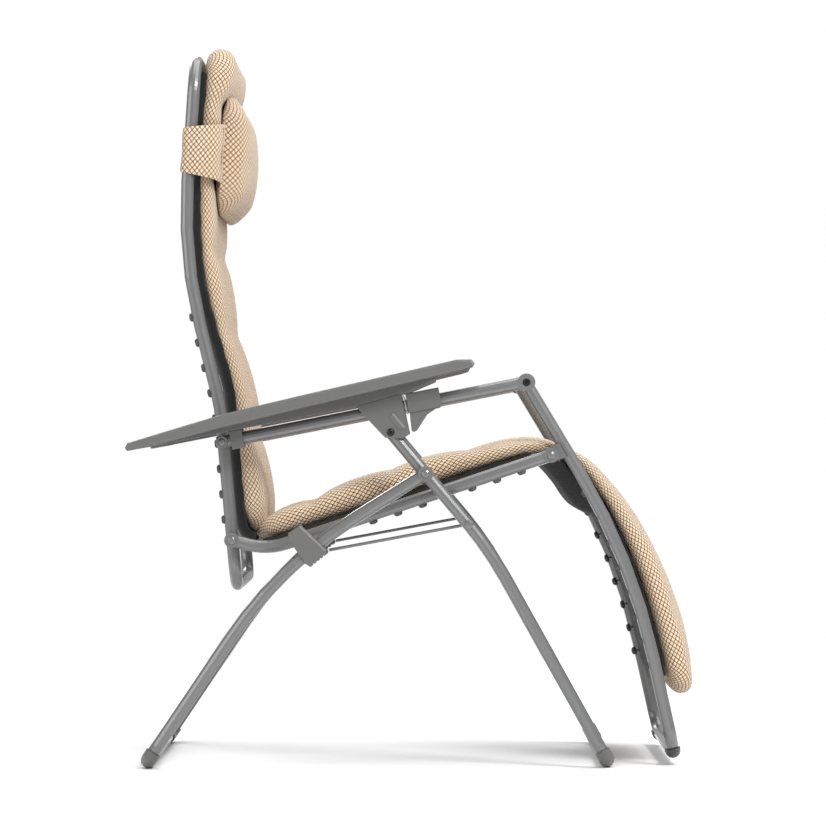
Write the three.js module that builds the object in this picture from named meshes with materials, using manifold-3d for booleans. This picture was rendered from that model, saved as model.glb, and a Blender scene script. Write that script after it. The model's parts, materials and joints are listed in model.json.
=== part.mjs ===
// Folding recliner: two crossed leg frames, a seat, a back and a foot section tied into a four-bar
// by the arm bars, and armrests clamped on those bars. Millimetres, +Z up, the sitter faces +X,
// origin on the floor under the middle of the whole chair. Pieces are drawn on the sitter's right
// (-Y) side and mirrored to the left.
import * as THREE from "three";
import { mergeVertices, toCreasedNormals } from "three/addons/utils/BufferGeometryUtils.js";
import Module from "manifold-3d";

const wasm = await Module();
wasm.setup();

// Driving dimensions
const TUBE_R = 10;
const GAP = 0.3;
const PIN_R = 5;
const AROUND = 14;

// How far out from the middle plane each layer of tubing runs (tube centre)
const LAYER = { inner: 246, rail: 269, rod: 283.5, bar: 298, outer: 321 };

// Pivots in side view, [x, z]
const SCISSOR = [22.4, 464.3];
const ARMREST_BOLT = [-32.3, 529.3];
const ROD_FRONT = [90.5, 384.3];
const ROD_REAR = [-129.8, 343.6];
const BLOCK_PIN = [-175.5, 360.9];
const BACK_SEAT = [-283.3, 358.7];
const BACK_ARM = [-297.5, 513.8];
const FOOT_SEAT = [220.5, 492.8];
const FOOT_ARM = [180.8, 607.6];

const finish = (color, roughness, metalness) =>
  new THREE.MeshStandardMaterial({ color, roughness, metalness });
const PAINT = finish(0x7c7e81, 0.42, 0.35);
const PLASTIC = finish(0x66686c, 0.6, 0);
const PLASTIC_DARK = finish(0x3d3e41, 0.55, 0);
const BLACK_PLASTIC = finish(0x17171a, 0.5, 0);
const STEEL = finish(0x9a9ca0, 0.35, 0.9);
const BOLT = finish(0x1f2022, 0.4, 0.7);
const FABRIC = finish(0xc9a982, 0.95, 0);
const BACKING = finish(0x1a1a1a, 0.95, 0);

const group = new THREE.Group();
group.name = "zero_gravity_recliner";

// ---- solids -------------------------------------------------------------------------------

function solid(geometry) {
  const bare = new THREE.BufferGeometry();
  bare.setAttribute("position", geometry.getAttribute("position").clone());
  if (geometry.index) bare.setIndex(geometry.index);
  const welded = mergeVertices(bare, 1e-4);
  return new wasm.Manifold(
    new wasm.Mesh({
      numProp: 3,
      vertProperties: new Float32Array(welded.getAttribute("position").array),
      triVerts: new Uint32Array(welded.index.array),
    }),
  );
}

function add(name, body, material) {
  const { vertProperties, triVerts } = body.getMesh();
  const geometry = new THREE.BufferGeometry();
  geometry.setAttribute("position", new THREE.BufferAttribute(vertProperties, 3));
  geometry.setIndex(new THREE.BufferAttribute(triVerts, 1));
  const mesh = new THREE.Mesh(toCreasedNormals(geometry, Math.PI / 5), material);
  mesh.name = name;
  group.add(mesh);
}

function addPair(name, body, material) {
  add(`${name}_right`, body, material);
  add(`${name}_left`, body.mirror([0, 1, 0]), material);
}

// Side-view outline made into a plate between two distances out from the middle plane
function plate(outline, near, far, bevel = 0) {
  const shape = new THREE.Shape(outline.map(([x, z]) => new THREE.Vector2(x, z)));
  const geometry = new THREE.ExtrudeGeometry(shape, {
    depth: far - near - 2 * bevel,
    bevelEnabled: bevel > 0,
    bevelThickness: bevel,
    bevelSize: bevel,
    bevelOffset: -bevel,
    bevelSegments: 2,
  });
  geometry.rotateX(Math.PI / 2);
  geometry.translate(0, -near - bevel, 0);
  return solid(geometry);
}

// Round pin or hole along Y, between two distances out from the middle plane
function pin([x, z], radius, near, far, sides = 20, farRadius = radius) {
  const geometry = new THREE.CylinderGeometry(radius, farRadius, far - near, sides);
  geometry.translate(x, -(near + far) / 2, z);
  return solid(geometry);
}

// Low dome standing on a face
function dome(at, radius, from, to) {
  const waist = from + 0.6 * (to - from);
  const skirt = pin(at, radius, from, waist, 20, 0.86 * radius);
  return skirt.add(pin(at, 0.86 * radius, waist, to, 20, 0.45 * radius));
}

// Pin with a domed outer head and, if asked, a flat inner one
function headedPin(at, radius, near, far, headRadius, headHeight, headNear = true) {
  const shank = pin(at, radius, near, far - headHeight + 0.5);
  const outer = shank.add(dome(at, headRadius, far - headHeight, far));
  return headNear ? outer.add(pin(at, headRadius, near, near + headHeight)) : outer;
}

// ---- tubes --------------------------------------------------------------------------------

// Stations along straight runs joined by arcs. Each corner is [x, y, z, bend radius].
function stations(corners, closed, stepDegrees = 9) {
  const points = corners.map(([x, y, z]) => new THREE.Vector3(x, y, z));
  const found = [];
  points.forEach((corner, i) => {
    const before = points[(i + points.length - 1) % points.length];
    const after = points[(i + 1) % points.length];
    const atEnd = !closed && (i === 0 || i === points.length - 1);
    const arrive = corner.clone().sub(i === 0 && !closed ? corner : before).normalize();
    const leave = after.clone().sub(corner).normalize();
    if (atEnd) {
      found.push({ point: corner, tangent: i === 0 ? leave : arrive });
      return;
    }
    const turn = arrive.angleTo(leave);
    const bend = corners[i][3];
    const cut = bend * Math.tan(turn / 2);
    const start = corner.clone().addScaledVector(arrive, -cut);
    const toCentre = leave.clone().addScaledVector(arrive, -leave.dot(arrive)).normalize();
    const steps = Math.max(2, Math.ceil(THREE.MathUtils.radToDeg(turn) / stepDegrees));
    for (let k = 0; k <= steps; k++) {
      const angle = (turn * k) / steps;
      found.push({
        point: start
          .clone()
          .addScaledVector(arrive, bend * Math.sin(angle))
          .addScaledVector(toCentre, bend * (1 - Math.cos(angle))),
        tangent: arrive
          .clone()
          .multiplyScalar(Math.cos(angle))
          .addScaledVector(toCentre, Math.sin(angle)),
      });
    }
  });
  return found;
}

function tube(corners, radius = TUBE_R, closed = false, stepDegrees = 9) {
  const rings = stations(corners, closed, stepDegrees);
  const normal = new THREE.Vector3(0, 1, 0).cross(rings[0].tangent);
  if (normal.length() < 0.5) normal.set(0, 0, 1).cross(rings[0].tangent);
  normal.normalize();
  const positions = [];
  rings.forEach(({ point, tangent }, i) => {
    if (i > 0) {
      const turn = new THREE.Quaternion().setFromUnitVectors(rings[i - 1].tangent, tangent);
      normal.applyQuaternion(turn);
    }
    const side = tangent.clone().cross(normal);
    for (let k = 0; k < AROUND; k++) {
      const angle = (2 * Math.PI * k) / AROUND;
      const at = point
        .clone()
        .addScaledVector(normal, radius * Math.cos(angle))
        .addScaledVector(side, radius * Math.sin(angle));
      positions.push(at.x, at.y, at.z);
    }
  });
  const index = [];
  const spans = closed ? rings.length : rings.length - 1;
  for (let i = 0; i < spans; i++) {
    const here = i * AROUND;
    const next = ((i + 1) % rings.length) * AROUND;
    for (let k = 0; k < AROUND; k++) {
      const k2 = (k + 1) % AROUND;
      index.push(here + k, here + k2, next + k, here + k2, next + k2, next + k);
    }
  }
  if (!closed) {
    const last = (rings.length - 1) * AROUND;
    for (let k = 1; k < AROUND - 1; k++) {
      index.push(0, k + 1, k, last, last + k, last + k + 1);
    }
  }
  const geometry = new THREE.BufferGeometry();
  geometry.setAttribute("position", new THREE.Float32BufferAttribute(positions, 3));
  geometry.setIndex(index);
  return solid(geometry);
}

// One side of a frame in side view, [x, z, bend radius], carried out to a layer
const side = (line, layer) => line.map(([x, z, bend]) => [x, -layer, z, bend]);

// A U frame: down one side, across, and back up the other
const uFrame = (line, layer) => [
  ...side(line, layer),
  ...side(line, -layer).reverse(),
];

// ---- leg frames ---------------------------------------------------------------------------

const SHOE_R = 12.2;
const CORNER_BEND = 38;

const rearLegLine = [
  [...SCISSOR, 0],
  [-205.8, 321.5, 671.9],
  [-414.3, SHOE_R, CORNER_BEND],
];
const frontLegLine = [
  [-40, 538.4, 0],
  [121.8, 346.3, 560],
  [308.7, SHOE_R, CORNER_BEND],
];

const through = (at, radius = PIN_R) => pin(at, radius + GAP, -400, 400);

const rearLeg = tube(uFrame(rearLegLine, LAYER.outer), TUBE_R, false, 4);
const rearEyes = pin(SCISSOR, 12, 311.5, 331.4).add(pin(SCISSOR, 12, -331.4, -311.5));
add("rear_leg_frame", rearLeg.add(rearEyes).subtract(through(SCISSOR)), PAINT);

const frontLeg = tube(uFrame(frontLegLine, LAYER.bar), TUBE_R, false, 5)
  .subtract(through(SCISSOR))
  .subtract(through(ARMREST_BOLT, 4))
  .subtract(through(ROD_FRONT, 4));
add("front_leg_frame", frontLeg, PAINT);

// Plastic cup round each floor corner, reaching a little way up the tube and along the cross tube
function shoe(line, layer, up, across) {
  const [bendX, bendZ] = line[1];
  const [x, z] = line[2];
  const rise = Math.hypot(bendX - x, bendZ - z);
  const [upX, upZ] = [(bendX - x) / rise, (bendZ - z) / rise];
  const elbow = (radius, more) => {
    const length = CORNER_BEND + 8 + more;
    const corners = [
      [x + upX * length, -layer, z + upZ * length, 0],
      [x, -layer, z, CORNER_BEND],
      [x, -layer + across + more, z, 0],
    ];
    return tube(corners, radius, false, 12);
  };
  const rim = upX * x + upZ * z + up;
  return elbow(SHOE_R, 0)
    .subtract(elbow(TUBE_R + 2 * GAP, 5))
    .trimByPlane([-upX, 0, -upZ], -rim);
}
addPair("rear_shoe", shoe(rearLegLine, LAYER.outer, 18, 60), PLASTIC);
addPair("front_shoe", shoe(frontLegLine, LAYER.bar, 18, 60), PLASTIC);

addPair("scissor_rivet", headedPin(SCISSOR, PIN_R, 284.4, 334.8, 6.8, 3.2), PAINT);

// ---- slide blocks and tie rods ------------------------------------------------------------

const blockOutline = [
  [-174, 384.5], [-132.2, 345.1], [-131.6, 338.8], [-157.6, 318.3], [-166.4, 323.5],
  [-192.9, 363], [-192.9, 371.4],
];
const legBore = tube(side(rearLegLine, LAYER.outer), TUBE_R + 0.5, false, 3);
const BLOCK_IN = 309.3;
const BLOCK_OUT = 336;
let block = plate(blockOutline, BLOCK_IN, BLOCK_OUT, 3.5).subtract(legBore);
// Finger notches along the block's lower front edge
for (const share of [0.2, 0.4, 0.6, 0.8]) {
  const notch = [-131.6 - 26 * share, 338.8 - 20.5 * share];
  block = block.subtract(pin(notch, 1.7, BLOCK_IN - 1, BLOCK_OUT + 1, 10));
}
addPair("slide_block", block.add(pin([-134, 341.5], 3.5, 286.3, BLOCK_IN + 4)), PLASTIC);

const ROD_R = 2.5;
const rod = tube([[...at3(ROD_FRONT, LAYER.rod), 0], [...at3(ROD_REAR, LAYER.rod), 0]], ROD_R);
addPair(
  "tie_rod",
  rod.add(pin(ROD_FRONT, 8, 281.2, 285.8)).subtract(pin(ROD_FRONT, 4 + GAP, 270, 300)),
  PAINT,
);
addPair("rod_pin", headedPin(ROD_FRONT, 4, 279.4, 311.4, 7, 1.5), PAINT);

function at3([x, z], out) {
  return [x, -out, z];
}

// ---- seat ---------------------------------------------------------------------------------

const railLine = [
  [...BACK_SEAT, 0],
  [-227.4, 343.7, 106],
  [...FOOT_SEAT, 0],
];
const EYE_R = 12;
const EYE_OUT = 279.6;
const LUG_OUT = 258.5;
const rail = tube(side(railLine, LAYER.rail), TUBE_R, false, 6)
  .add(pin(BACK_SEAT, EYE_R, 260, EYE_OUT))
  .add(pin(FOOT_SEAT, EYE_R, 260, EYE_OUT))
  .subtract(pin(BACK_SEAT, PIN_R + GAP, 250, 290))
  .subtract(pin(FOOT_SEAT, PIN_R + GAP, 250, 290))
  .subtract(pin(BLOCK_PIN, PIN_R + GAP, 250, 290));
addPair("seat_rail", rail, PAINT);
addPair("seat_pin", headedPin(BLOCK_PIN, PIN_R, 256.3, BLOCK_IN - GAP, 7, 2.2), PAINT);
const eyePin = (at, near) => headedPin(at, PIN_R, near, EYE_OUT + 3.2, 6.8, 2.9, false);
addPair("back_seat_pin", eyePin(BACK_SEAT, 256.3), PAINT);
addPair("foot_seat_pin", eyePin(FOOT_SEAT, LUG_OUT + GAP), PAINT);

// ---- back and foot frames -----------------------------------------------------------------

const backLine = [
  [-341.6, 1119, 55],
  [-362.2, 811.3, 743],
  [-302.4, 567.4, 260],
  [-276.8, 287.4, 40],
];
const backFrame = tube(uFrame(backLine, LAYER.inner), TUBE_R, true, 6);
const armSpacer = (at) => pin(at, 8, 246, 287.7).add(pin(at, 8, -287.7, -246));
add("back_frame", backFrame.add(armSpacer(BACK_ARM)), PAINT);

const footLine = [
  [...FOOT_ARM, 0],
  [348.2, 329.1, 970],
  [416.1, 22.6, CORNER_BEND],
];
const footLug = plate(
  [[210, 487], [214, 482], [228, 484], [246, 490], [234, 512], [222, 508.5], [212, 501.5]],
  251,
  LUG_OUT,
);
const lug = footLug.add(pin(FOOT_SEAT, EYE_R, 251, LUG_OUT));
add(
  "foot_frame",
  tube(uFrame(footLine, LAYER.inner), TUBE_R, false, 5)
    .add(armSpacer(FOOT_ARM))
    .add(lug)
    .add(lug.mirror([0, 1, 0])),
  PAINT,
);
addPair("foot_cap", shoe(footLine, LAYER.inner, 5, 55), BLACK_PLASTIC);

// ---- arm bars -----------------------------------------------------------------------------

const barRise = Math.atan2(FOOT_ARM[1] - BACK_ARM[1], FOOT_ARM[0] - BACK_ARM[0]);
// Point beside the arm bar: distance along it from the back pivot, and distance above its axis
const beside = (along, above) => [
  BACK_ARM[0] + along * Math.cos(barRise) - above * Math.sin(barRise),
  BACK_ARM[1] + along * Math.sin(barRise) + above * Math.cos(barRise),
];
const BAR_LENGTH = Math.hypot(FOOT_ARM[0] - BACK_ARM[0], FOOT_ARM[1] - BACK_ARM[1]);
const BAR_IN = LAYER.bar - TUBE_R;
const BAR_OUT = LAYER.bar + TUBE_R;
const KNUCKLE_R = 14;

const bar = tube([
  [...at3(beside(-8, 0), LAYER.bar), 0],
  [...at3(beside(BAR_LENGTH, 0), LAYER.bar), 0],
])
  .add(pin(FOOT_ARM, KNUCKLE_R, BAR_IN, BAR_OUT, 28))
  .subtract(pin(FOOT_ARM, 6.3, BAR_OUT - 5, BAR_OUT + 5))
  .subtract(pin(BACK_ARM, 4.3, BAR_OUT - 8, BAR_OUT + 5));
addPair("arm_bar", bar, PAINT);
addPair(
  "knuckle_bolt",
  pin(FOOT_ARM, 6, BAR_OUT - 4.7, BAR_OUT - 0.2, 6)
    .subtract(pin(FOOT_ARM, 2.8, BAR_OUT - 2.2, BAR_OUT + 1, 6)),
  BOLT,
);
addPair(
  "arm_bar_bolt",
  pin(BACK_ARM, 4, BAR_OUT - 7.5, BAR_OUT + 2)
    .add(pin(BACK_ARM, 10, BAR_OUT + GAP, BAR_OUT + 1.8, 24, 9))
    .add(dome(BACK_ARM, 6, BAR_OUT + 1.5, BAR_OUT + 4.2)),
  PAINT,
);

// ---- armrests -----------------------------------------------------------------------------

const REST_IN = 288;
const REST_OUT = 355;
const UNDER = 14.5;
const REST_RISE = 215;
const BRACKET_FRONT = 291;

const restOutline = [
  [-447, 505], [-443, 512.5], [-382.8, 531], [-293.2, 557.8], [-173.6, 586.5], [70.5, 642.8],
  [94, 643], [99, 637], [96, 631], [84, 627.4], [-96, 584.4], [-291, 537.5], [-412, 506],
  [-444, 500],
];
const ribOutline = [
  [-425, 507], [-293, 545], [41, 622], [41, 613.5], [0, 596],
  beside(REST_RISE, UNDER), beside(-126, UNDER),
];
const inBarPlane = (fromAlong, toAlong, fromAbove, toAbove) => [
  beside(fromAlong, fromAbove), beside(toAlong, fromAbove),
  beside(toAlong, toAbove), beside(fromAlong, toAbove),
];
const GROOVE = 16;
const groove = plate(inBarPlane(-200, 172, 0, GROOVE), LAYER.bar - 6, LAYER.bar + 6);
const RIB_OUT = 314;
const REST_WALL = 6;
// Hollow under the armrest between its rib and its outer lip: the same outline, lowered and
// drawn in at the ends
const hollow = plate(restOutline, RIB_OUT + 2, REST_OUT - REST_WALL)
  .scale([0.95, 1, 1])
  .translate([0, 0, -8]);
addPair(
  "armrest",
  plate(restOutline, REST_IN, REST_OUT, 4)
    .subtract(hollow)
    .add(plate(ribOutline, REST_IN, RIB_OUT, 1))
    .subtract(groove),
  PLASTIC,
);

// Short runner between bar and armrest, sunk in the groove
addPair(
  "glide_strip",
  plate(inBarPlane(15, 37, 10.6, GROOVE - 0.6), LAYER.bar - 5, LAYER.bar + 5),
  PLASTIC_DARK,
);

const CHEEK_IN = 283.5;
const CHEEK_OUT = 312.5;
const GUIDE_OUT = 310.7;
const slot = (fromAlong, toAlong, fromAbove, toAbove) =>
  plate(inBarPlane(fromAlong, toAlong, fromAbove, toAbove), BAR_IN - GAP, BAR_OUT + GAP);

const UNDER_REST = UNDER - GAP;
addPair(
  "rear_guide",
  plate(inBarPlane(14, 34, -15, UNDER_REST), CHEEK_IN, GUIDE_OUT, 1)
    .subtract(slot(10, 40, -10.6, 20)),
  PLASTIC,
);

const bracketOutline = [
  beside(REST_RISE + 2, UNDER_REST), [-71, 552], [-41, 520.5], [-13, 519.5], [-3, 526],
  [-8.5, 551], beside(BRACKET_FRONT, 20.9),
];
// Rounded stiffening rib beside the leg's socket
const socketRib = tube([[-32, -306, 556, 0], [-13.5, -306, 534, 0]], 8.8);
const bracket = plate(bracketOutline, CHEEK_IN, CHEEK_OUT, 1)
  .add(socketRib)
  .subtract(slot(180, 330, -80, 15.5))
  .subtract(pin(ARMREST_BOLT, 4 + GAP, 270, 330));
addPair("arm_bracket", bracket, PLASTIC);
addPair(
  "armrest_bolt",
  headedPin(ARMREST_BOLT, 4, 283.2, 316.4, 6, 3.4, false)
    .subtract(pin(ARMREST_BOLT, 2.2, 314.6, 318, 6)),
  BOLT,
);

// Spring plate that bites on the bar, and the lever that frees it
const CLAMP_AT = 293;
addPair(
  "clamp_plate",
  plate(inBarPlane(CLAMP_AT, CLAMP_AT + 2, -12, 19), CHEEK_IN + 1, CHEEK_OUT - 1)
    .subtract(slot(CLAMP_AT - 5, CLAMP_AT + 10, -30, 15.5)),
  STEEL,
);

const leverSleeve = inBarPlane(297, 350, -11.5, 19);
const leverFin = [
  beside(299, -6), beside(346, -6), [38.7, 567.1], [26, 558.5],
  [9, 532], [4, 529.5], [0.5, 532], [-2, 553],
];
addPair(
  "lock_lever",
  plate(leverSleeve, CHEEK_IN - 2.5, CHEEK_OUT + 2.5, 1.2)
    .add(plate(leverFin, CHEEK_IN + 1, CHEEK_OUT - 1, 0.8))
    .subtract(slot(280, 380, -80, 16)),
  PLASTIC,
);

// ---- soft parts ---------------------------------------------------------------------------

const PAD_HALF = 238;
const FOOT_PAD_HALF = 234;
const SLING_HALF = 229;

function soft(outline, half, round) {
  return plate(outline, -half, half, round);
}

const backPadOutline = [
  [-328, 1122], [-326, 1141], [-314, 1148], [-298, 1144], [-288, 1133], [-291, 1108],
  [-304, 1080], [-318, 985], [-319, 880], [-308, 800], [-300, 720], [-289, 655], [-270, 585],
  [-262, 515], [-246, 470], [-236, 430], [-238, 392], [-254, 370], [-264, 381], [-271, 412],
  [-279, 501], [-286, 590], [-300, 645], [-315, 694], [-331, 756], [-339, 816], [-341, 900],
  [-336, 1000],
];
add("back_pad", soft(backPadOutline, PAD_HALF, 4), FABRIC);

const seatPadOutline = [
  [-250, 357], [-246, 376], [-230, 391], [-208, 400], [-159, 414], [-105, 437], [-24, 465],
  [38, 484], [100, 496], [160, 503], [206, 507], [224, 509], [234, 504], [234, 499],
  [212, 499.5], [190, 495.5], [-190, 369.5], [-232, 356],
];
add("seat_pad", soft(seatPadOutline, PAD_HALF, 0), FABRIC);

const footPadOutline = [
  [240, 508], [262, 497], [281, 480], [306, 448], [334, 406], [362, 356], [387, 306],
  [412, 250], [433, 194], [445, 148], [443, 127], [430, 119], [415, 125], [403, 140],
  [374, 240], [336, 345], [300, 421], [252, 496],
];
add("foot_pad", soft(footPadOutline, FOOT_PAD_HALF, 0), FABRIC);

const sheet = (front, thickness) => [
  ...front,
  ...front.map(([x, z]) => [x - thickness, z]).reverse(),
];
add(
  "back_sling",
  plate(sheet([
    [-341, 1080], [-346.5, 1000], [-349, 900], [-346.5, 816], [-337, 754], [-321, 692],
    [-306, 643], [-292.5, 590], [-286, 501], [-280.5, 425],
  ], 3), -SLING_HALF, SLING_HALF),
  BACKING,
);
add(
  "seat_sling",
  plate([
    [-186, 364.5], [190, 489.5], [191, 486.5], [-185, 361.5],
  ], -SLING_HALF, SLING_HALF),
  BACKING,
);
add(
  "foot_sling",
  plate(sheet([
    [291, 430], [328, 352], [366, 248], [396, 140],
  ], 3), -SLING_HALF, SLING_HALF),
  BACKING,
);

// Head pillow and the elastic band that holds it round the back frame
const pillowOutline = [
  [-301, 1066], [-284, 1059], [-266, 1040], [-256, 1010], [-254, 975], [-258, 940],
  [-268, 908], [-286, 884], [-306, 873], [-313, 878], [-311, 916], [-311, 1000], [-304, 1035],
];
add("head_pillow", soft(pillowOutline, 195, 6), FABRIC);

function band() {
  const ring = (grow) => {
    const x0 = -372 - grow;
    const x1 = -314 + grow;
    const half = 261 + grow;
    const corner = 14 + grow;
    const shape = new THREE.Shape();
    shape.absarc(x1 - corner, half - corner, corner, 0, Math.PI / 2);
    shape.absarc(x0 + corner, half - corner, corner, Math.PI / 2, Math.PI);
    shape.absarc(x0 + corner, -half + corner, corner, Math.PI, 1.5 * Math.PI);
    shape.absarc(x1 - corner, -half + corner, corner, 1.5 * Math.PI, 2 * Math.PI);
    return shape;
  };
  const BAND_WIDTH = 76;
  const made = (shape, depth, from) => {
    const geometry = new THREE.ExtrudeGeometry(shape, {
      depth, bevelEnabled: false, curveSegments: 5,
    });
    geometry.translate(0, 0, from);
    return solid(geometry);
  };
  const hoop = made(ring(2), BAND_WIDTH, 0).subtract(made(ring(0), BAND_WIDTH + 10, -5));
  return hoop.translate([0, 0, 932]);
}
add("pillow_strap", band(), BACKING);

export default group;
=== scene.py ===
"""Folding padded recliner: padding, covers, lacing, finishes, studio and camera over the CAD frame.

Lengths are metres in the frame's axes: +X is the way the sitter faces, +Y their left, +Z up.
"""

import json
import math

import bmesh
import bpy
import numpy as np
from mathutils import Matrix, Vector


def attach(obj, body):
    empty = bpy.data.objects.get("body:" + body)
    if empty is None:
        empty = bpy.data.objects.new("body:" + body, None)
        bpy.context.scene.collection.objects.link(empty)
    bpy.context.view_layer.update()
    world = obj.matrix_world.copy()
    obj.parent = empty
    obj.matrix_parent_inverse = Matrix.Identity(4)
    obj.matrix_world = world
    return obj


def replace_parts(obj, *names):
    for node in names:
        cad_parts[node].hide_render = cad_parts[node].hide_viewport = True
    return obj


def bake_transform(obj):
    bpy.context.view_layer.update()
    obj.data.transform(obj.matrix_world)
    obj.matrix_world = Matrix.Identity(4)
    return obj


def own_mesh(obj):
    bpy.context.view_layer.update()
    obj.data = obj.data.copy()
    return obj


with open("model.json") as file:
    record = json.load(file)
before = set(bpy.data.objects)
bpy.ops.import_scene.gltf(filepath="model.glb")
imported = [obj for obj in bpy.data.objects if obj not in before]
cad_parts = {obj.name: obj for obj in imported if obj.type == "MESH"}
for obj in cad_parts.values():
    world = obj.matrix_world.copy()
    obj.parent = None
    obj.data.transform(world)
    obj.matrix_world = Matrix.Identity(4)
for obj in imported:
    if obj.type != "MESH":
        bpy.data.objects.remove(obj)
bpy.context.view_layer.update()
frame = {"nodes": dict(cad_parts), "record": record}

MM = 0.001
TUBE_R = 10 * MM
VOXEL = 6 * MM
STEPS_PER_PIECE = 24
POINTS_AT_ONCE = 4000


# ---- curves -------------------------------------------------------------------------------


def curve_piece(a, b, c, d, t):
    """Places between b and c on a smooth curve that comes from a and goes on to d."""
    return 0.5 * (2 * b + (c - a) * t + (2 * a - 5 * b + 4 * c - d) * t**2
                  + (3 * b - 3 * c + d - a) * t**3)


def smooth_line(points, step):
    """Evenly spaced points on a smooth curve through side-view points (x, z)."""
    p = np.array(points, float)
    ext = np.vstack([2 * p[0] - p[1], p, 2 * p[-1] - p[-2]])
    t = np.linspace(0, 1, STEPS_PER_PIECE, endpoint=False)[:, None]
    run = [curve_piece(*four, t) for four in zip(ext, ext[1:], ext[2:], ext[3:])]
    dense = np.vstack([*run, p[-1:]])
    length = np.r_[0, np.cumsum(np.linalg.norm(np.diff(dense, axis=0), axis=1))]
    at = np.linspace(0, length[-1], max(2, round(length[-1] / step)) + 1)
    return np.c_[np.interp(at, length, dense[:, 0]), np.interp(at, length, dense[:, 1])]


class Spine:
    """A side-view curve that pads are laid on: places are (distance along, out, across)."""

    def __init__(self, points, flip=False):
        self.line = smooth_line(points, 4 * MM)
        self.s = np.r_[0, np.cumsum(np.linalg.norm(np.diff(self.line, axis=0), axis=1))]
        self.length = self.s[-1]
        tangent = np.gradient(self.line, self.s, axis=0)
        tangent /= np.linalg.norm(tangent, axis=1)[:, None]
        side = np.c_[tangent[:, 1], -tangent[:, 0]]
        self.tangent = tangent
        self.normal = -side if flip else side

    def at(self, s, out):
        """World x and z of places at distance s along the curve and out from it."""
        s = np.asarray(s, float)
        x = np.interp(s, self.s, self.line[:, 0])
        z = np.interp(s, self.s, self.line[:, 1])
        nx = np.interp(s, self.s, self.normal[:, 0])
        nz = np.interp(s, self.s, self.normal[:, 1])
        size = np.hypot(nx, nz)
        return x + out * nx / size, z + out * nz / size

    def find(self, x, z):
        """Distance along and out for world places, from the nearest piece of the curve."""
        s = np.empty(len(x))
        out = np.empty(len(x))
        for first in range(0, len(x), POINTS_AT_ONCE):
            part = slice(first, first + POINTS_AT_ONCE)
            dx = x[part, None] - self.line[None, :, 0]
            dz = z[part, None] - self.line[None, :, 1]
            near = np.argmin(dx**2 + dz**2, axis=1)
            rows = np.arange(len(near))
            dx, dz = dx[rows, near], dz[rows, near]
            s[part] = self.s[near] + self.tangent[near, 0] * dx + self.tangent[near, 1] * dz
            out[part] = self.normal[near, 0] * dx + self.normal[near, 1] * dz
        return s, out


# ---- meshes -------------------------------------------------------------------------------


def mesh_object(name, vertices, faces, smooth=True):
    """New object in the scene from vertices and faces."""
    mesh = bpy.data.meshes.new(name)
    mesh.from_pydata([tuple(v) for v in vertices], [], faces)
    mesh.validate()
    obj = bpy.data.objects.new(name, mesh)
    bpy.context.scene.collection.objects.link(obj)
    if smooth:
        mesh.shade_smooth()
    return obj


def face_outward(obj):
    """Turn every face of a closed mesh to look outward."""
    bm = bmesh.new()
    bm.from_mesh(obj.data)
    bmesh.ops.recalc_face_normals(bm, faces=bm.faces)
    bm.to_mesh(obj.data)
    bm.free()
    return obj


def apply_modifiers(obj):
    """Bake an object's modifiers into its mesh."""
    graph = bpy.context.evaluated_depsgraph_get()
    made = bpy.data.meshes.new_from_object(obj.evaluated_get(graph))
    obj.modifiers.clear()
    obj.data = made
    return obj


def coordinates(obj):
    """Vertex places as an array with one row each."""
    co = np.empty(len(obj.data.vertices) * 3)
    obj.data.vertices.foreach_get("co", co)
    return co.reshape(-1, 3)


def set_coordinates(obj, co):
    obj.data.vertices.foreach_set("co", co.ravel())
    obj.data.update()


def grid_faces(rows, columns, wrap=False):
    """Four-sided faces of a grid of vertices stored row by row; wrap closes each row to a ring."""
    last = columns if wrap else columns - 1
    return [
        (r * columns + c, r * columns + (c + 1) % columns,
         (r + 1) * columns + (c + 1) % columns, (r + 1) * columns + c)
        for r in range(rows - 1)
        for c in range(last)
    ]


def sweep(name, path, radius, sides=10, closed=False):
    """Round cord along a list of 3-D points."""
    p = np.array(path, float)
    ahead = np.roll(p, -1, axis=0) - np.roll(p, 1, axis=0)
    if not closed:
        ahead[0], ahead[-1] = p[1] - p[0], p[-1] - p[-2]
    ahead /= np.linalg.norm(ahead, axis=1)[:, None]
    normal = np.cross(ahead[0], [0.31, 0.83, 0.46])
    normal /= np.linalg.norm(normal)
    rings = []
    for t, at in zip(ahead, p):
        normal = normal - t * (normal @ t)
        normal /= np.linalg.norm(normal)
        other = np.cross(t, normal)
        turn = np.linspace(0, 2 * np.pi, sides, endpoint=False)[:, None]
        rings.append(at + radius * (np.cos(turn) * normal + np.sin(turn) * other))
    faces = grid_faces(len(p) + (1 if closed else 0), sides, wrap=True)
    total = len(p) * sides
    faces = [tuple(i % total for i in f) for f in faces]
    if not closed:
        faces.append(tuple(range(sides))[::-1])
        faces.append(tuple(range(total - sides, total)))
    return face_outward(mesh_object(name, np.vstack(rings), faces))


def joined(objects):
    """Join objects into the first of them."""
    with bpy.context.temp_override(active_object=objects[0], selected_editable_objects=objects):
        bpy.ops.object.join()
    return objects[0]


# ---- node materials -----------------------------------------------------------------------


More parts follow.
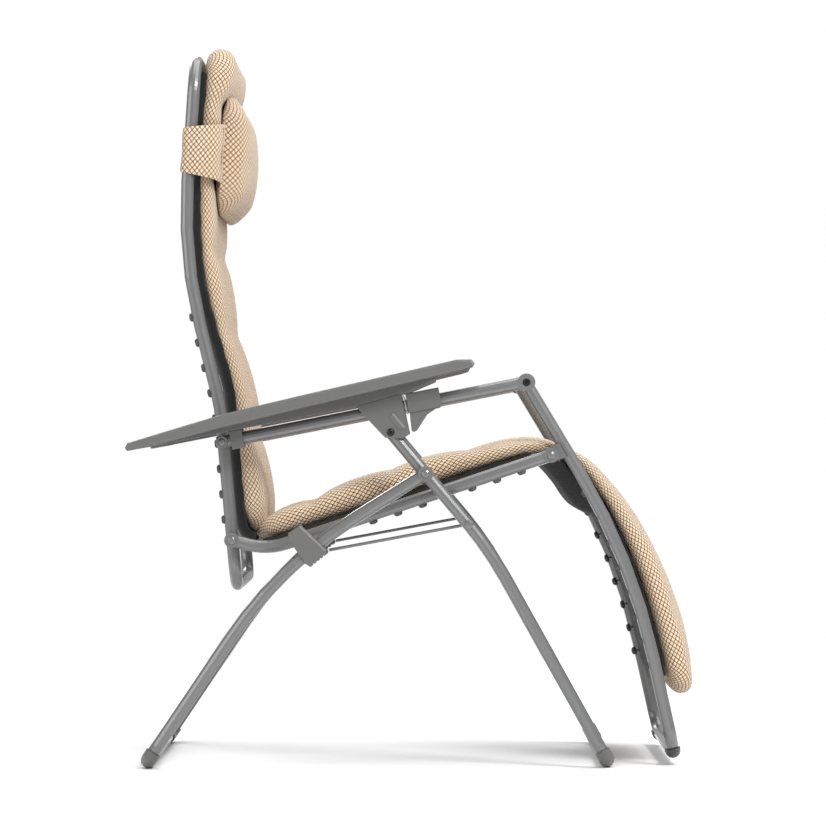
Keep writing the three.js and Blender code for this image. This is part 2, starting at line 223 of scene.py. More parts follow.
class Nodes:
    """Short names for building a node material."""

    def __init__(self, name):
        self.material = bpy.data.materials.new(name)
        self.material.use_nodes = True
        self.tree = self.material.node_tree
        self.shader = self.tree.nodes["Principled BSDF"]

    def new(self, kind, **settings):
        node = self.tree.nodes.new(kind)
        for key, value in settings.items():
            setattr(node, key, value)
        return node

    def plug(self, value, socket):
        if isinstance(value, bpy.types.NodeSocket):
            self.tree.links.new(value, socket)
        else:
            socket.default_value = value

    def math(self, operation, *values):
        node = self.new("ShaderNodeMath", operation=operation)
        for value, socket in zip(values, node.inputs):
            self.plug(value, socket)
        return node.outputs[0]

    def ramp(self, value, low, high, to_low=0.0, to_high=1.0):
        node = self.new("ShaderNodeMapRange", interpolation_type="SMOOTHSTEP")
        for v, socket in zip((value, low, high, to_low, to_high), node.inputs):
            self.plug(v, socket)
        return node.outputs[0]

    def mix(self, share, a, b):
        node = self.new("ShaderNodeMix", data_type="RGBA")
        self.plug(share, node.inputs["Factor"])
        self.plug(a, node.inputs["A"])
        self.plug(b, node.inputs["B"])
        return node.outputs["Result"]

    def noise(self, scale, detail=3.0, where=None):
        node = self.new("ShaderNodeTexNoise")
        node.inputs["Scale"].default_value = scale
        node.inputs["Detail"].default_value = detail
        self.plug(where or self.new("ShaderNodeTexCoord").outputs["Object"], node.inputs["Vector"])
        return node.outputs["Fac"]

    def bump(self, height, distance, strength=1.0):
        node = self.new("ShaderNodeBump")
        node.inputs["Strength"].default_value = strength
        node.inputs["Distance"].default_value = distance
        self.plug(height, node.inputs["Height"])
        self.plug(node.outputs["Normal"], self.shader.inputs["Normal"])

    def set(self, **inputs):
        for key, value in inputs.items():
            self.plug(value, self.shader.inputs[key.replace("_", " ")])


def shade(color, factor):
    """Opaque colour made lighter or darker by a factor."""
    return (*(c * factor for c in color), 1.0)


def speckled(name, color, roughness, metallic, grain, bump, variation=0.12, coat=0.0):
    """Painted or moulded surface: fine grain in relief, faint mottling and uneven gloss."""
    n = Nodes(name)
    mottle = n.noise(14.0, 4.0)
    fine = n.noise(grain, 2.0)
    tint = n.mix(mottle, shade(color, 1 - variation), shade(color, 1 + variation))
    gloss = n.ramp(n.noise(45.0, 5.0), 0.3, 0.7, roughness - 0.02, roughness + 0.03)
    n.set(Base_Color=tint, Roughness=gloss, Metallic=metallic, Coat_Weight=coat)
    n.bump(fine, bump)
    return n.material


def diamond_mesh(name, beige, brown, along, across):
    """Open weave of pale rounded diamonds over dark ground, laid out by the "weave" attribute."""
    n = Nodes(name)
    layout = n.new("ShaderNodeAttribute", attribute_name="weave").outputs["Vector"]
    split = n.new("ShaderNodeSeparateXYZ")
    n.plug(layout, split.inputs[0])
    wobble = n.math("MULTIPLY", n.math("SUBTRACT", n.noise(60.0, 2.0, layout), 0.5), 0.35)
    u = n.math("ADD", n.math("DIVIDE", split.outputs["X"], along), wobble)
    v = n.math("DIVIDE", split.outputs["Y"], across)
    diagonals = n.math("ADD", u, v), n.math("SUBTRACT", u, v)
    ridge = []
    for d in diagonals:
        from_line = n.math("ABSOLUTE", n.math("SUBTRACT", n.math("FRACT", d), 0.5))
        ridge.append(n.ramp(from_line, 0.49, 0.27))
    cell = n.math("MULTIPLY", *ridge)
    parity = n.math(
        "PINGPONG", n.math("ADD", *(n.math("FLOOR", d) for d in diagonals)), 1.0
    )
    threads = 6 * 2 * math.pi
    thread = [n.math("SINE", n.math("MULTIPLY", d, threads)) for d in diagonals]
    blend = n.new("ShaderNodeMix", data_type="FLOAT")
    n.plug(parity, blend.inputs["Factor"])
    n.plug(thread[0], blend.inputs["A"])
    n.plug(thread[1], blend.inputs["B"])
    ply = n.math("MULTIPLY", blend.outputs["Result"], 0.08)
    fibre = n.noise(900.0, 3.0, layout)
    worn = n.noise(9.0, 4.0)
    pale = n.mix(worn, shade(beige, 0.86), shade(beige, 1.08))
    # Every other diamond is painted darker: painted shade standing in for light falling differently on
    # the over and under cells of the weave.
    pale = n.mix(n.math("MULTIPLY", parity, 0.28), pale, shade(beige, 0.70))
    pale = n.mix(n.math("MULTIPLY", fibre, 0.35), pale, shade(beige, 0.72))
    n.set(
        Base_Color=n.mix(n.ramp(cell, 0.05, 0.55), shade(brown, 1.0), pale),
        Roughness=n.ramp(cell, 0.0, 1.0, 0.95, 0.62),
        Sheen_Weight=0.25,
        Sheen_Roughness=0.4,
    )
    relief = n.math("ADD", cell, ply)
    n.bump(n.math("ADD", relief, n.math("MULTIPLY", fibre, 0.12)), 1.1 * MM, 0.9)
    return n.material


def plain_weave(name, color, pitch):
    """Close plain weave from the object's own coordinates, for backing cloth and cord."""
    n = Nodes(name)
    where = n.new("ShaderNodeTexCoord").outputs["Object"]
    split = n.new("ShaderNodeSeparateXYZ")
    n.plug(where, split.inputs[0])
    warp = n.math("SINE", n.math("MULTIPLY", split.outputs["Y"], 2 * math.pi / pitch))
    rise = n.math("ADD", split.outputs["Z"], n.math("MULTIPLY", split.outputs["X"], 0.7))
    weft = n.math("SINE", n.math("MULTIPLY", rise, 2 * math.pi / pitch))
    height = n.math("ADD", n.math("MULTIPLY", n.math("MULTIPLY", warp, weft), 0.5), 0.5)
    fuzz = n.noise(700.0, 3.0)
    # Colour darker in the dips between the threads and lighter on their crossings is painted shade and
    # highlight; the fuzz adds random fibre tone.
    dip_shade_and_fuzz = n.math("MULTIPLY", height, n.math("ADD", n.math("MULTIPLY", fuzz, 0.6), 0.6))
    n.set(
        Base_Color=n.mix(dip_shade_and_fuzz, shade(color, 0.55), shade(color, 1.5)),
        Roughness=0.9, Sheen_Weight=0.04,
    )
    n.bump(n.math("ADD", height, n.math("MULTIPLY", fuzz, 0.3)), 0.4 * MM, 0.8)
    return n.material


PAINT = speckled(
    "satin grey powder coat", (0.150, 0.151, 0.151), 0.30, 0.35, 1500, 0.015 * MM, 0.04, 0.3
)
PLASTIC = speckled("grey moulded plastic", (0.100, 0.100, 0.098), 0.44, 0.0, 700, 0.06 * MM, 0.08)
PLASTIC_DARK = speckled(
    "dark moulded plastic", (0.050, 0.051, 0.054), 0.52, 0.0, 700, 0.10 * MM, 0.10
)
PLASTIC_BLACK = speckled(
    "black moulded plastic", (0.018, 0.018, 0.020), 0.45, 0.0, 600, 0.12 * MM, 0.15
)
STEEL = speckled("zinc plated steel", (0.42, 0.43, 0.44), 0.34, 1.0, 900, 0.04 * MM, 0.10)
BLACK_BOLT = speckled("black oxide steel", (0.022, 0.022, 0.024), 0.36, 0.7, 900, 0.04 * MM, 0.15)
MESH = diamond_mesh(
    "beige diamond mesh", (0.73, 0.55, 0.375), (0.085, 0.047, 0.026), 9.2 * MM, 7.8 * MM
)
BACKING = plain_weave("black backing cloth", (0.014, 0.013, 0.013), 2.4 * MM)
CORD = plain_weave("black braided cord", (0.030, 0.030, 0.031), 1.6 * MM)
THREAD = speckled("sewing thread", (0.22, 0.15, 0.09), 0.8, 0.0, 1500, 0.05 * MM, 0.2)

FINISH_OF_SLOT = {
    "painted_tube": PAINT,
    "grey_plastic": PLASTIC,
    "dark_plastic": PLASTIC_DARK,
    "black_plastic": PLASTIC_BLACK,
    "bare_steel": STEEL,
    "black_bolt": BLACK_BOLT,
    "beige_mesh": MESH,
    "black_backing": BACKING,
}


def paint(obj, material):
    """Give an object one material."""
    obj.data.materials.clear()
    obj.data.materials.append(material)
    return obj


def place(obj, material, body):
    """Finish a piece and let it ride on a body."""
    paint(obj, material)
    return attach(obj, body)


for part in frame["record"]["subparts"]:
    paint(frame["nodes"][part["node"]], FINISH_OF_SLOT[part["material_slot"]])


# ---- padding ------------------------------------------------------------------------------


def puffed(obj, held, pressure, cap):
    """Swell a closed form as cloth under pressure; held points stay, and none moves past cap."""
    before = coordinates(obj)
    group = obj.vertex_groups.new(name="held")
    for i in np.flatnonzero(held):
        group.add([int(i)], 1.0, "REPLACE")
    cloth = obj.modifiers.new("cloth", "CLOTH")
    cloth.settings.quality = 4
    cloth.settings.mass = 0.25
    cloth.settings.tension_stiffness = 9
    cloth.settings.compression_stiffness = 9
    cloth.settings.shear_stiffness = 4
    cloth.settings.bending_stiffness = 0.35
    cloth.settings.use_pressure = True
    cloth.settings.uniform_pressure_force = pressure
    cloth.settings.effector_weights.gravity = 0
    cloth.settings.vertex_group_mass = "held"
    cloth.settings.pin_stiffness = 1.0
    cloth.point_cache.frame_start = 1
    cloth.point_cache.frame_end = 20
    for step in range(1, 21):
        bpy.context.scene.frame_set(step)
    obj = apply_modifiers(obj)
    bpy.context.scene.frame_set(1)
    moved = coordinates(obj) - before
    size = np.linalg.norm(moved, axis=1)
    moved *= np.minimum(1, cap / np.maximum(size, 1e-9))[:, None]
    set_coordinates(obj, before + moved)
    obj.vertex_groups.clear()
    return obj


def edge_round(distance, reach):
    """0 at the rim rising to 1 at reach, round like a stuffed edge."""
    q = np.clip(distance / reach, 0, 1)
    return np.sqrt(1 - (1 - q) ** 2)


def spaced(half, rim, pitch):
    """Grid places from -half to half: even in the middle, following a quarter turn over each rim."""
    turn = np.linspace(0, np.pi / 2, 7)
    edge = half - rim * (1 - np.cos(turn))
    middle = np.linspace(rim - half, half - rim, max(3, round(2 * (half - rim) / pitch)))
    return np.r_[-edge, middle[1:-1], edge[::-1]]


class Pad:
    """Stuffed pad on a spine: thickness along it, rounded rims, sewn channels across it."""

    def __init__(self, name, points, half, thickness, channels, flip=False, rim=26 * MM,
                 corner=45 * MM, waist=0.0, seam=0.45):
        self.name, self.half, self.channels = name, half, channels
        self.spine = Spine(points, flip)
        self.rim, self.corner, self.waist, self.seam = rim, corner, waist, seam
        self.thick_at = np.array(thickness, float)

    def thickness(self, s):
        share = s / self.spine.length
        return np.interp(share, self.thick_at[:, 0], self.thick_at[:, 1])

    def pulled(self, s):
        """Half width at a place along the pad. The sides pull in between the corners."""
        return self.half - self.waist * np.sin(np.pi * np.clip(s / self.spine.length, 0, 1)) ** 2

    def rim_way(self, s, y):
        """How far inside the rounded outline a place is, and which way the rim lies."""
        length = self.spine.length
        ds = np.abs(s - length / 2) - (length / 2 - self.corner)
        dy = np.abs(y) - (self.pulled(s) - self.corner)
        both = (ds > 0) & (dy > 0)
        far = np.where(both, np.hypot(ds, dy), np.maximum(ds, dy))
        way_s = np.where(both, ds / np.maximum(far, 1e-9), ds >= dy) * np.sign(s - length / 2)
        way_y = np.where(both, dy / np.maximum(far, 1e-9), ds < dy) * np.sign(y)
        return self.corner - far, way_s, way_y

    def channel(self, s, width):
        """Depth share of the nearest sewn channel, falling away over width."""
        depth = np.zeros(np.shape(s))
        for share, deep in self.channels:
            near = np.exp(-(((s - share * self.spine.length) / width) ** 2))
            depth = np.maximum(depth, deep * near)
        return depth

    def form(self):
        """The closed stuffed form, before it is swollen."""
        length = self.spine.length
        along = length / 2 + spaced(length / 2, self.rim, 8 * MM)
        across = spaced(self.half, self.rim, 9 * MM)
        s, y = np.meshgrid(along, across, indexing="ij")
        ds = np.maximum(np.abs(s - length / 2) - (length / 2 - self.corner), 0)
        dy = np.maximum(np.abs(y) - (self.half - self.corner), 0)
        shrink = np.maximum(ds, dy) / np.maximum(np.hypot(ds, dy), 1e-9)
        bent = (ds > 0) & (dy > 0)
        s = np.where(bent, s - np.sign(s - length / 2) * ds * (1 - shrink), s)
        y = np.where(bent, y - np.sign(y) * dy * (1 - shrink), y)
        y = y * self.pulled(s) / self.half
        inside = np.maximum(self.rim_way(s, y)[0], 0)
        rise = edge_round(inside, self.rim)
        thick = self.thickness(s)
        seam = self.seam * thick
        top = seam + (thick - seam) * rise * (1 - self.channel(s, 16 * MM))
        bottom = seam - (seam - 1 * MM) * rise
        rows, columns = s.shape
        rim = np.zeros(s.shape, bool)
        rim[[0, -1], :] = rim[:, [0, -1]] = True
        upper = np.arange(rows * columns).reshape(s.shape)
        lower = upper.copy()
        lower[~rim] = rows * columns + np.arange((~rim).sum())
        x, z = self.spine.at(s, np.where(rim, seam, top))
        under_x, under_z = self.spine.at(s[~rim], bottom[~rim])
        vertices = np.vstack([
            np.c_[x.ravel(), y.ravel(), z.ravel()],
            np.c_[under_x, y[~rim], under_z],
        ])
        faces = []
        for index, turned in ((upper, 1), (lower, -1)):
            for r in range(rows - 1):
                for c in range(columns - 1):
                    quad = (index[r, c], index[r, c + 1], index[r + 1, c + 1], index[r + 1, c])
                    faces.append(tuple(int(i) for i in quad[::turned]))
        return face_outward(mesh_object(self.name, vertices, faces))

    def lay_weave(self, obj):
        """Store where each point is on the cover, measured along the cloth round the rims."""
        co = coordinates(obj)
        s, out = self.spine.find(co[:, 0], co[:, 2])
        inside, way_s, way_y = self.rim_way(s, co[:, 1])
        thick = self.thickness(s)
        reach = np.clip(self.rim - inside, 0, self.rim)
        turn = np.arctan2(reach / self.rim, (out / thick - self.seam) / (1 - self.seam))
        around = turn * 0.5 * (self.rim + (1 - self.seam) * thick)
        extra = np.where(inside < self.rim, around - reach, 0)
        weave = obj.data.attributes.new("weave", "FLOAT_VECTOR", "POINT")
        laid = np.c_[s + way_s * extra, co[:, 1] + way_y * extra, out]
        weave.data.foreach_set("vector", laid.ravel())

    def build(self, body, pressure=4.0, cap=14 * MM):
        """Make the pad, swell it and let it ride on a body."""
        obj = self.form()
        remesh = obj.modifiers.new("remesh", "REMESH")
        remesh.mode = "VOXEL"
        remesh.voxel_size = VOXEL
        obj = apply_modifiers(obj)
        co = coordinates(obj)
        s, out = self.spine.find(co[:, 0], co[:, 2])
        inside = self.rim_way(s, co[:, 1])[0]
        on_channel = self.channel(s, 8 * MM) > 0.12
        back_face = (out < 4 * MM) & (inside > self.rim)
        obj = puffed(obj, on_channel | back_face | (inside < 5 * MM), pressure, cap)
        subdivide = obj.modifiers.new("subdivide", "SUBSURF")
        subdivide.levels = subdivide.render_levels = 1
        obj = apply_modifiers(obj)
        obj.data.shade_smooth()
        self.lay_weave(obj)
        return place(obj, MESH, body)


def mm(points):
    """Side-view points given in millimetres."""
    return [(x * MM, z * MM) for x, z in points]


BACK_LINE = mm([
    (-255, 366), (-270, 412), (-278, 501), (-286, 590), (-300, 645), (-315, 694), (-331, 756),
    (-339, 816), (-341, 900), (-338, 1000), (-331, 1085), (-325, 1143),
])
SEAT_LINE = mm([
    (-250, 358), (-218, 361), (-160, 380), (0, 433), (120, 473), (190, 494), (226, 497), (243, 487),
])
FOOT_LINE = mm([
    (236, 492), (262, 478), (300, 428), (334, 364), (361, 300), (383, 230), (401, 160), (412, 108),
])

back_pad = Pad(
    "back_cushion", BACK_LINE, 240 * MM,
    [(0, 0.034), (0.07, 0.040), (0.16, 0.032), (0.3, 0.024), (0.4, 0.022), (0.5, 0.032),
     (0.62, 0.030), (0.75, 0.026), (0.86, 0.034), (0.93, 0.048), (1, 0.050)],
    ((0.195, 0.22), (0.415, 0.25), (0.585, 0.40), (0.74, 0.25), (0.885, 0.40)),
    rim=24 * MM, waist=5 * MM,
).build("back")
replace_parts(back_pad, "back_pad")
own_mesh(back_pad)

seat_pad = Pad(
    "seat_cushion", SEAT_LINE, 240 * MM,
    [(0, 0.030), (0.08, 0.038), (0.35, 0.046), (0.6, 0.044), (0.8, 0.028), (1, 0.016)],
    ((0.20, 0.30), (0.46, 0.14), (0.72, 0.14)), flip=True, rim=24 * MM, waist=5 * MM,
).build("seat")
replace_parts(seat_pad, "seat_pad")
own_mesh(seat_pad)

foot_pad = Pad(
    "foot_cushion", FOOT_LINE, 240 * MM,
    [(0, 0.016), (0.15, 0.022), (0.45, 0.036), (0.8, 0.044), (1, 0.044)],
    ((0.36, 0.08), (0.70, 0.08)), flip=True, rim=22 * MM, waist=5 * MM, seam=0.5,
).build("foot_section")
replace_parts(foot_pad, "foot_pad")

PILLOW_LINE = mm([(-310, 872), (-314, 905), (-313, 950), (-309, 1000), (-303, 1040), (-296, 1070)])
pillow = Pad(
    "pillow", PILLOW_LINE, 196 * MM,
    [(0, 0.034), (0.12, 0.046), (0.3, 0.053), (0.55, 0.053), (0.8, 0.045), (1, 0.030)],
    (), rim=30 * MM, corner=42 * MM, waist=6 * MM, seam=0.12,
).build("pillow", cap=8 * MM)
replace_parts(pillow, "head_pillow")


# ---- cloth, lacing and the pillow band -----------------------------------------------------


def cloth(name, grid, thickness):
    """Closed sheet of cloth: a grid of places on its middle surface, thickened both ways."""
    g = np.array(grid, float)
    ahead = np.gradient(g, axis=0)
    across = np.gradient(g, axis=1)
    normal = np.cross(ahead, across)
    normal /= np.maximum(np.linalg.norm(normal, axis=2), 1e-12)[:, :, None]
    half = np.broadcast_to(np.asarray(thickness) / 2, g.shape[:2])[:, :, None]
    rows, columns = g.shape[:2]
    front = np.arange(rows * columns).reshape(rows, columns)
    back = front + rows * columns
    faces = []
    for r in range(rows - 1):
        for c in range(columns - 1):
            quad = [(r, c), (r, c + 1), (r + 1, c + 1), (r + 1, c)]
            faces.append(tuple(int(front[i]) for i in quad))
            faces.append(tuple(int(back[i]) for i in quad[::-1]))
    edge = [(0, c) for c in range(columns)] + [(r, columns - 1) for r in range(1, rows)]
    edge += [(rows - 1, c) for c in range(columns - 2, -1, -1)]
    edge += [(r, 0) for r in range(rows - 2, 0, -1)]
    for i, j in zip(edge, edge[1:] + edge[:1]):
        faces.append((int(front[i]), int(back[i]), int(back[j]), int(front[j])))
    vertices = np.vstack([(g + normal * half).reshape(-1, 3), (g - normal * half).reshape(-1, 3)])
    obj = face_outward(mesh_object(name, vertices, faces))
    subdivide = obj.modifiers.new("subdivide", "SUBSURF")
    subdivide.levels = subdivide.render_levels = 1
    obj = apply_modifiers(obj)
    obj.data.shade_smooth()
    return obj


ROW_STEP = 9 * MM
HEM_SHARE = 0.06
PUCKER = 1.2 * MM
BEHIND_PAD = 3 * MM


def trough(name, line, half, sag, lip, pitch, body, flip=False, thickness=2.4 * MM):
    """Backing cloth slung between the tubes: its hems dip towards the tubes and turn up to the pad."""
    spine = Spine(line, flip)
    rows = round(spine.length / ROW_STEP)
    share = np.array([0, 0.02, 0.05, 0.10, 0.18, 0.3, 0.5, 0.7, 0.82, 0.9, 0.95, 0.98, 1])
    # The black hems turned up by lip fill the gap between tube and pad: real backing cloth, and partly
    # a dark sheet standing in for the shade in that gap.
    dip = np.array([lip, -0.35 * sag, -0.8 * sag, -sag, -0.9 * sag, -0.6 * sag, -0.3 * sag])
    profile = np.r_[dip, dip[-2::-1]]
    s = np.linspace(0, spine.length, rows)[:, None]
    pucker = np.cos(2 * np.pi * s / pitch)
    near_hem = np.exp(-(np.minimum(share, 1 - share) / HEM_SHARE) ** 2)[None, :]
    out = profile[None, :] - BEHIND_PAD + PUCKER * pucker * near_hem
    y = (2 * share[None, :] - 1) * (half + 1.0 * MM * pucker * near_hem)
    x, z = spine.at(np.broadcast_to(s, out.shape), out)
    obj = cloth(name, np.dstack([x, y, z]), thickness)
    return place(obj, BACKING, body)


def smooth_run(points, count):
    """Places at equal steps along a smooth curve through 3-D points."""
    p = np.array(points, float)
    flat = np.r_[0, np.cumsum(np.linalg.norm(np.diff(p, axis=0), axis=1))]
    fine = np.linspace(0, flat[-1], count)
    ext = np.vstack([2 * p[0] - p[1], p, 2 * p[-1] - p[-2]])
    k = np.clip(np.searchsorted(flat, fine, side="right") - 1, 0, len(p) - 2)
    t = ((fine - flat[k]) / (flat[k + 1] - flat[k]))[:, None]
    return curve_piece(ext[k], ext[k + 1], ext[k + 2], ext[k + 3], t)


def surface_point(node, start, way):
    """Where a ray from start first meets a frame piece, and the surface's direction there."""
    obj = frame["nodes"][node]
    turn = obj.matrix_world.inverted()
    hit, where, normal, _ = obj.ray_cast(turn @ Vector(start), turn.to_3x3() @ Vector(way))
    if not hit:
        raise ValueError(f"no surface of {node} from {start}")
    return obj.matrix_world @ where, (obj.matrix_world.to_3x3() @ normal).normalized()


CLIP_RINGS, CLIP_SIDES = 4, 12
CLIP_LENGTH, CLIP_WIDTH, CLIP_SUNK = 7 * MM, 4.5 * MM, 3 * MM


def clip_head(where, normal, along, proud):
    """Long low clip head standing on a tube, sunk a little into it."""
    other = normal.cross(along)
    rings = []
    for angle in np.linspace(0.0, 0.5 * np.pi, CLIP_RINGS + 1)[:-1]:
        ring = []
        for turn in np.linspace(0, 2 * np.pi, CLIP_SIDES, endpoint=False):
            flat = CLIP_LENGTH * math.cos(turn) * along + CLIP_WIDTH * math.sin(turn) * other
            ring.append(where + flat * math.sqrt(math.cos(angle)) + normal * (proud * math.sin(angle)))
        rings.append(ring)
    base = [v - normal * CLIP_SUNK for v in rings[0]]
    vertices = [tuple(v) for ring in [base, *rings] for v in ring]
    faces = grid_faces(CLIP_RINGS + 1, CLIP_SIDES, wrap=True)
    top = CLIP_RINGS * CLIP_SIDES
    crown = top + CLIP_SIDES
    vertices += [tuple(where + normal * proud), tuple(where - normal * CLIP_SUNK)]
    for k in range(CLIP_SIDES):
        after = (k + 1) % CLIP_SIDES
        faces.append((top + k, top + after, crown))
        faces.append((after, k, crown + 1))
    return vertices, faces


def lacing(name, node, body, starts, way, inward, edge_out, turned=0.0):
    """A row of clips on a tube, turned round it, and the cords that tie each to the cloth's hem."""
    vertices, faces = [], []
    cords = []
    for start in starts:
        where, normal = surface_point(node, start, way)
        centre = where - normal * TUBE_R
        side = Vector((0, inward, 0))
        along = normal.cross(side).normalized()
        faced = normal * math.cos(turned) + side * math.sin(turned)
        more, shapes = clip_head(centre + faced * TUBE_R, faced, along, 4.8 * MM)
        faces += [tuple(i + len(vertices) for i in f) for f in shapes]
        vertices += more
        wrap = [
            centre + (TUBE_R + 1.2 * MM) * (normal * math.cos(a) + side * math.sin(a))
            for a in np.linspace(0.35, 1.5, 5)
        ]
        for lean in (-1, 1):
            hem = centre + side * edge_out + along * lean * 10 * MM - normal * 2 * MM
            cords.append(smooth_run([*wrap, hem], 9))
    clips = face_outward(mesh_object(f"{name}_clips", vertices, faces))
    place(clips, PLASTIC_DARK, body)
    made = [sweep(f"{name}_cord", path, 1.1 * MM, sides=6) for path in cords]
    place(joined(made), CORD, body)


SIDES = ((-1, "right"), (1, "left"))

back_cloth = trough("back_backing", mm([
    (-246, 363), (-259, 369), (-268, 388), (-273, 440), (-278, 501), (-286, 590), (-300, 645),
    (-315, 694), (-331, 756), (-339, 816), (-341, 900), (-338, 1000), (-331, 1085), (-330, 1102),
]), 233 * MM, 10 * MM, 10 * MM, 40 * MM, "back")
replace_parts(back_cloth, "back_sling")
seat_cloth = trough("seat_backing", mm([
    (-236, 359), (-218, 361), (-160, 380), (0, 433), (120, 473), (192, 494),
]), 246 * MM, 8 * MM, 6 * MM, 39 * MM, "seat", flip=True)
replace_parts(seat_cloth, "seat_sling")
foot_cloth = trough("foot_backing", mm([
    (300, 428), (334, 364), (361, 300), (383, 230), (401, 160), (405, 142),
]), 233 * MM, 14 * MM, 3 * MM, 39 * MM, "foot_section", flip=True)
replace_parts(foot_cloth, "foot_sling")

BACK_Y, RAIL_Y = 246 * MM, 269 * MM
FORWARD, UP = (1, 0, 0), (0, 0, 1)
for sign, side in SIDES:
    up_the_back = [(-1, sign * BACK_Y, (391 + 40 * k) * MM) for k in range(9)]
    lacing(f"back_{side}", "back_frame", "back", up_the_back, FORWARD, -sign, 16 * MM)
    along_the_seat = [((-60 + 39 * k) * MM, sign * RAIL_Y, -1) for k in range(7)]
    lacing(f"seat_{side}", f"seat_rail_{side}", "seat", along_the_seat, UP, -sign, 24 * MM)
    up_the_foot = [(-1, sign * BACK_Y, (159 + 39 * k) * MM) for k in range(8)]
    lacing(f"foot_{side}", "foot_frame", "foot_section", up_the_foot, FORWARD, -sign, 16 * MM, 0.5)


WALL = 26 * MM
RIPPLE_PITCH = 95 * MM


def skirt(name, sag_line, edge_line, half, bodies):
    """Loose cloth hung across the double hinge, its sides rising to the tubes.

    It is made as two pieces that overlap at the middle; neither is attached to a body.
    """
    sag = smooth_line(sag_line, 5 * MM)
    edge = smooth_line(edge_line, 1 * MM)
    edge = edge[np.linspace(0, len(edge) - 1, len(sag)).round().astype(int)]
    y = half * np.sin(np.linspace(-0.5, 0.5, 49) * np.pi)
    wall = np.clip((np.abs(y) - half + WALL) / WALL, 0, 1) ** 2
    ripple = 1.5 * MM * np.sin(y * 2 * np.pi / RIPPLE_PITCH) * (1 - wall)
    middle = len(sag) // 2
    for part, rows, pair in (("seat_side", slice(0, middle + 2), bodies[:2]),
                             ("foot_side", slice(middle, None), bodies[1:])):
        grid = []
        for low, high in zip(sag[rows], edge[rows]):
            x = low[0] + (high[0] - low[0]) * wall + ripple
            z = low[1] + (high[1] - low[1]) * wall - ripple
            grid.append(np.c_[x, y, z])
        piece = cloth(f"{name}_{part}", grid, 2.2 * MM)
        paint(piece, BACKING)
        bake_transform(piece)


skirt("knee_skirt", mm([
    (188, 487), (211, 474), (236, 446), (250, 425), (262, 411), (279, 401), (302, 396),
]), mm([
    (190, 491), (214, 489), (236, 482), (256, 462), (274, 435), (290, 412), (305, 390),
]), 231 * MM, ("seat", "foot_pins", "foot_section"))


BAND_MIDDLE = 970 * MM
BAND_ROWS = 13
BAND_FINE = 1800
BAND_KEEP = 12
BAND_LEAN = (1119 - 811.3) / (362.2 - 341.6)
BAND_SEAMS = (9, -10)
STITCH_PITCH = 4.4 * MM


def pillow_band():
    """Cloth wings from the pillow's ends round the back tubes, meeting behind the back."""
    behind, _ = surface_point("back_frame", (-1, -BACK_Y, BAND_MIDDLE), FORWARD)
    tube_x = behind.x + TUBE_R
    r = TUBE_R + 1.8 * MM
    wing = [(-303, -186), (-300, -220), (-309, -246), (-331, -257.5)]
    path = [(x * MM, y * MM) for x, y in wing]
    path += [
        (tube_x + r * math.cos(a), -BACK_Y + r * math.sin(a))
        for a in np.radians(np.linspace(-90, -180, 5))
    ]
    path += [(tube_x - r, -0.8 * BACK_Y), (tube_x - r, -0.4 * BACK_Y)]
    path += [(x, -y) for x, y in path[::-1]]
    fine = smooth_run([(x, y, 0) for x, y in path], BAND_FINE)
    fine_gone = np.r_[0, np.cumsum(np.linalg.norm(np.diff(fine, axis=0), axis=1))]
    run, gone = fine[::BAND_KEEP], fine_gone[::BAND_KEEP]
    reach = np.minimum(gone, gone[-1] - gone)
    shares = (0, 50 * MM, 120 * MM, 180 * MM)
    top = np.interp(reach, shares, (1.021, 1.018, 1.012, 1.002))
    bottom = np.interp(reach, shares, (0.919, 0.926, 0.941, 0.948))
    grid = []
    for (x, y, _), high, low, at in zip(run, top, bottom, gone):
        z = np.linspace(low, high, BAND_ROWS)
        wave = 0.7 * MM * np.sin(z * 2 * np.pi / 0.055 + at * 30)
        grid.append(np.c_[x + (z - BAND_MIDDLE) / BAND_LEAN + wave, np.full(BAND_ROWS, y), z])
    band = cloth("pillow_band", grid, 2.0 * MM)
    co = coordinates(band)
    upright = co[:, 0] - (co[:, 2] - BAND_MIDDLE) / BAND_LEAN
    near = [np.argmin(np.hypot(fine[:, 0] - x, fine[:, 1] - y)) for x, y in zip(upright, co[:, 1])]
    weave = band.data.attributes.new("weave", "FLOAT_VECTOR", "POINT")
    weave.data.foreach_set("vector", np.c_[co[:, 2], fine_gone[near], 0 * upright].ravel())
    place(band, MESH, "pillow")
    for at in BAND_SEAMS:
        x, y, _ = run[at]
        ahead = run[at + 1] - run[at - 1]
        outward = np.array([ahead[1], -ahead[0]]) / np.hypot(ahead[0], ahead[1])
        if outward[1] * y < 0:
            outward = -outward
        sewn = []
        for z in np.arange(bottom[at] + 4 * MM, top[at] - 6 * MM, STITCH_PITCH):
            rise = np.array([0, 0.9, 1.9, 2.8]) * MM
            proud = np.array([0.2, 1.3, 1.3, 0.2]) * MM
            px = x + (z + rise - BAND_MIDDLE) / BAND_LEAN + outward[0] * proud
            sewn.append(sweep("stitch", np.c_[px, y + outward[1] * proud, z + rise], 1.0 * MM, 5))
        place(joined(sewn), THREAD, "pillow")
    return band


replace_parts(pillow_band(), "pillow_strap")


# ---- studio and camera --------------------------------------------------------------------

CAMERA_DISTANCE = 7.4
SEEN_WIDTH = 1.353
SENSOR = 36.0
LENS_SHIFT = (-0.0084746, 0.0145278)

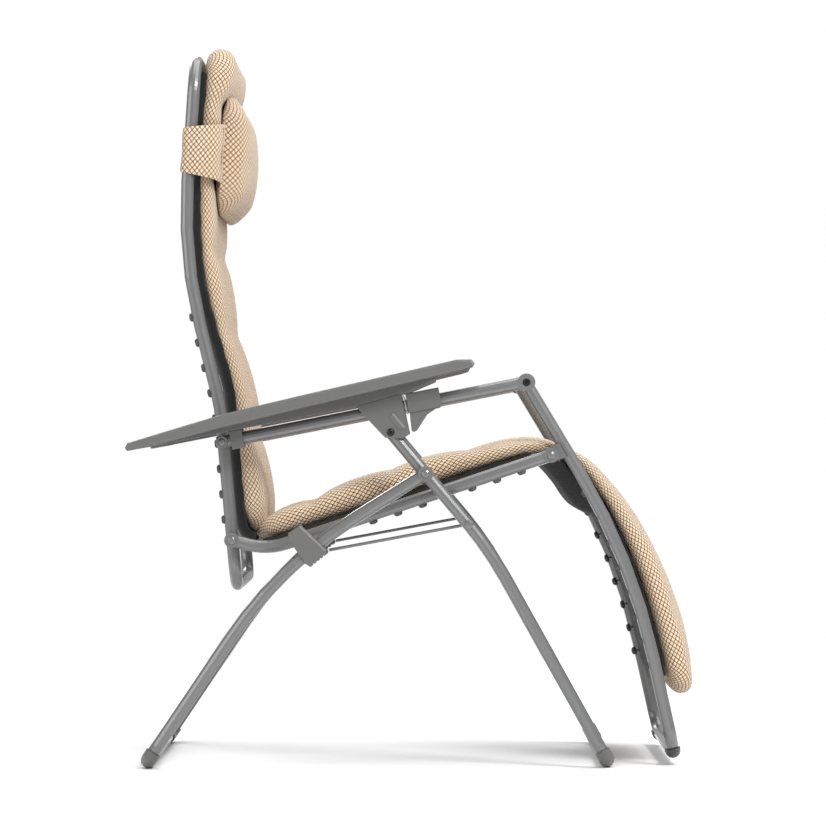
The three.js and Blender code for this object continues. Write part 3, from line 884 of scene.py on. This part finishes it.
floor = mesh_object(
    "floor", [(-5, -9, 0), (5, -9, 0), (5, 3, 0), (-5, 3, 0)], [(0, 1, 2, 3)], smooth=False
)
paint(floor, speckled("pale floor", (0.94, 0.94, 0.94), 0.9, 0.0, 80, 0.05 * MM, 0.01))


def area_light(name, where, towards, size, power):
    lamp = bpy.data.lights.new(name, "AREA")
    lamp.shape = "RECTANGLE"
    lamp.size, lamp.size_y = size
    lamp.energy = power
    obj = bpy.data.objects.new(name, lamp)
    bpy.context.scene.collection.objects.link(obj)
    obj.location = where
    obj.rotation_euler = (Vector(towards) - Vector(where)).to_track_quat("-Z", "Y").to_euler()
    return obj


MIDDLE = (0, 0, 0.6)
lights = [
    area_light("key light", (1.8, -3.0, 3.0), MIDDLE, (1.2, 1.2), 135),
    area_light("fill light", (-3.0, -2.2, 1.6), MIDDLE, (1.2, 2.4), 35),
    area_light("top light", (0.8, 0.2, 3.8), MIDDLE, (4.0, 4.0), 130),
    area_light("rim light", (-1.4, 3.0, 2.4), MIDDLE, (2.0, 1.5), 50),
]

world = bpy.data.worlds.new("studio")
world.use_nodes = True
background = world.node_tree.nodes["Background"]
background.inputs["Color"].default_value = (1, 1, 1, 1)
seen = world.node_tree.nodes.new("ShaderNodeLightPath")
strength = world.node_tree.nodes.new("ShaderNodeMapRange")
strength.inputs["To Min"].default_value = 0.55
strength.inputs["To Max"].default_value = 1.0
world.node_tree.links.new(seen.outputs["Is Camera Ray"], strength.inputs["Value"])
world.node_tree.links.new(strength.outputs["Result"], background.inputs["Strength"])
bpy.context.scene.world = world
bpy.context.scene.view_settings.view_transform = "Standard"

camera_data = bpy.data.cameras.new("camera")
camera_data.sensor_width = SENSOR
camera_data.lens = SENSOR * CAMERA_DISTANCE / SEEN_WIDTH
camera_data.shift_x, camera_data.shift_y = LENS_SHIFT
camera_data.clip_end = 60
camera = bpy.data.objects.new("camera", camera_data)
bpy.context.scene.collection.objects.link(camera)
camera.location = (0.0136, -CAMERA_DISTANCE, 0.5406)
camera.rotation_euler = (math.pi / 2, 0, 0)
bpy.context.scene.camera = camera
